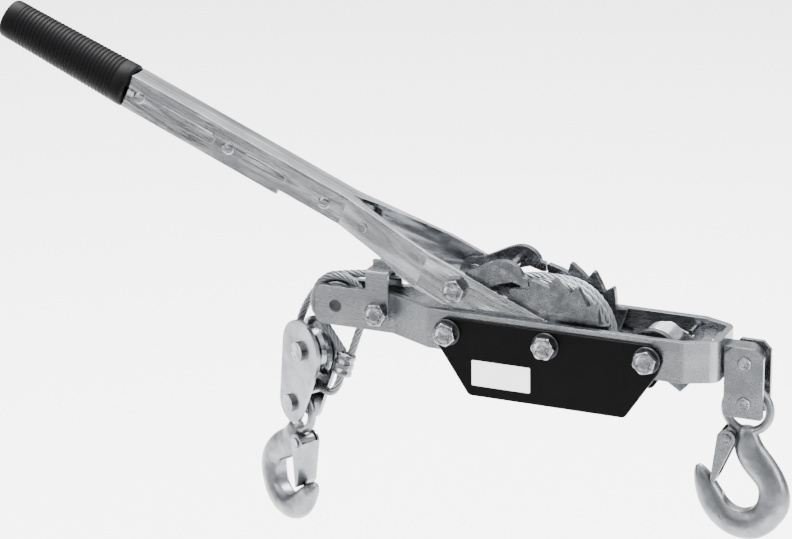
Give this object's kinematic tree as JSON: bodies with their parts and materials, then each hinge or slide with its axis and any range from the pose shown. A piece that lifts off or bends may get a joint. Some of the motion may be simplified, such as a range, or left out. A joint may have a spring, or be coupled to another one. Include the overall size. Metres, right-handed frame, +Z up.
{
  "type": "come along winch",
  "caption": "Hand ratchet puller: long lever, toothed drum wound with wire rope in a strap frame, guide roller, pulley block, and a latched hook at each end.",
  "frame": {"origin": "middle of the anchor hook's bowl", "axes": "+X from the drum towards the anchor hook, along the frame; +Y from front to rear, along the drum axle; +Z up, towards the lever"},
  "size_m": [0.5137, 0.0708, 0.3269],
  "materials": {
    "zinc_steel": "satin bright zinc plate",
    "dark_steel": "darker pressed steel",
    "cast_hook": "satin zinc on forged steel",
    "black_paint": "semi-gloss black",
    "label": "matt white film",
    "wire_rope": "bright drawn wire",
    "spring_steel": "bright wire",
    "black_rubber": "matt moulded"
  },
  "bodies": {
    "frame": {"frame_strap": "zinc_steel", "front_cover_plate": "black_paint", "rear_cover_plate": "black_paint", "cover_label": "label", "frame_bolts": "zinc_steel", "frame_nuts": "zinc_steel", "frame_washers": "zinc_steel", "drum_axle_sleeve": "zinc_steel", "stop_pawl_sleeve": "zinc_steel", "spring_anchor_rivet": "zinc_steel", "stop_pawl_spring": "spring_steel", "roller_pin": "zinc_steel", "keeper_bracket": "zinc_steel", "keeper_bolt": "zinc_steel", "keeper_nut": "zinc_steel", "keeper_sleeve": "zinc_steel", "backing_plate": "zinc_steel", "anchor_tongue": "dark_steel", "tongue_nut": "zinc_steel", "rope_run": "wire_rope"},
    "drum": {"front_ratchet_wheel": "dark_steel", "rear_ratchet_wheel": "dark_steel", "drum_hub": "zinc_steel", "drum_rivets": "zinc_steel", "wound_rope": "wire_rope"},
    "stop_pawl": {"stop_pawl": "dark_steel"},
    "guide_roller": {"guide_roller": "zinc_steel"},
    "link": {"front_link_plate": "zinc_steel", "rear_link_plate": "zinc_steel", "upper_link_pin": "zinc_steel", "lower_link_pin": "zinc_steel"},
    "anchor_hook": {"anchor_hook": "cast_hook", "anchor_latch_rivet": "zinc_steel"},
    "anchor_latch": {"anchor_latch": "zinc_steel"},
    "block": {"front_block_cheek": "zinc_steel", "rear_block_cheek": "zinc_steel", "sheave_pin": "zinc_steel", "block_hook_pin": "zinc_steel", "block_spacers": "zinc_steel", "rope_fall": "wire_rope", "rope_eye": "wire_rope", "ferrule": "zinc_steel"},
    "sheave": {"sheave": "zinc_steel"},
    "load_hook": {"load_hook": "cast_hook", "load_latch_rivet": "zinc_steel"},
    "load_latch": {"load_latch": "zinc_steel"},
    "lever": {"lever_front_half": "zinc_steel", "lever_rear_half": "zinc_steel", "lever_rivets": "zinc_steel", "fork_cross_pin": "zinc_steel", "rubber_grip": "black_rubber", "pawl_pivot_bolts": "zinc_steel", "drive_pawl_spring": "spring_steel"},
    "drive_pawl": {"front_drive_pawl": "dark_steel", "rear_drive_pawl": "dark_steel", "pawl_cross_pin": "zinc_steel"}
  },
  "joints": [
    {"name": "lever_swing", "type": "hinge", "parent": "frame", "child": "lever", "pos_m": [-0.1133, 0, 0.0848], "axis": [0, 1, 0], "range_deg": [-4, 100]},
    {"name": "drum_spin", "type": "hinge", "parent": "frame", "child": "drum", "pos_m": [-0.1133, 0, 0.0848], "axis": [0, 1, 0], "range_deg": [-4, 100]},
    {"name": "drive_pawl_lift", "type": "hinge", "parent": "lever", "child": "drive_pawl", "pos_m": [-0.1734, 0, 0.1096], "axis": [0, -1, 0], "range_deg": [0, 25], "stiffness_Nm_per_rad": 0.12, "springref_deg": -20.05, "deforming": ["drive_pawl_spring"]},
    {"name": "stop_pawl_lift", "type": "hinge", "parent": "frame", "child": "stop_pawl", "pos_m": [-0.0508, 0, 0.0848], "axis": [0, -1, 0], "range_deg": [0, 15], "stiffness_Nm_per_rad": 0.12, "springref_deg": -20.05, "deforming": ["stop_pawl_spring"]},
    {"name": "guide_roller_spin", "type": "hinge", "parent": "frame", "child": "guide_roller", "pos_m": [-0.2563, 0, 0.0848], "axis": [0, 1, 0], "continuous": true},
    {"name": "block_swing", "type": "hinge", "parent": "frame", "child": "block", "pos_m": [-0.2563, 0, 0.0848], "axis": [0, 1, 0], "range_deg": [-12, 12], "deforming": ["rope_fall"]},
    {"name": "sheave_spin", "type": "hinge", "parent": "block", "child": "sheave", "pos_m": [-0.2782, 0, 0.0504], "axis": [-0.5329, -0.8462, 0], "continuous": true},
    {"name": "load_hook_swing", "type": "hinge", "parent": "block", "child": "load_hook", "pos_m": [-0.28838, 0.00641, 0.01225], "axis": [-0.5329, -0.8462, 0], "range_deg": [-35, 35]},
    {"name": "load_latch_swing", "type": "hinge", "parent": "load_hook", "child": "load_latch", "pos_m": [-0.28587, 0.00483, -0.01427], "axis": [0.5329, 0.8462, 0], "range_deg": [0, 35], "stiffness_Nm_per_rad": 0.02, "springref_deg": -17.19},
    {"name": "link_swing", "type": "hinge", "parent": "frame", "child": "link", "pos_m": [0.0027, 0, 0.0838], "axis": [0, -1, 0], "range_deg": [-5, 95]},
    {"name": "anchor_hook_swing", "type": "hinge", "parent": "link", "child": "anchor_hook", "pos_m": [0.0027, 0, 0.0588], "axis": [0, -1, 0], "range_deg": [-40, 40]},
    {"name": "anchor_latch_swing", "type": "hinge", "parent": "anchor_hook", "child": "anchor_latch", "pos_m": [-0.0081, 0, 0.0344], "axis": [0, -1, 0], "range_deg": [0, 35], "stiffness_Nm_per_rad": 0.02, "springref_deg": -17.19}
  ],
  "couplings": [
    {"joint": "drum_spin", "follows": "lever_swing", "ratio": 1}
  ]
}
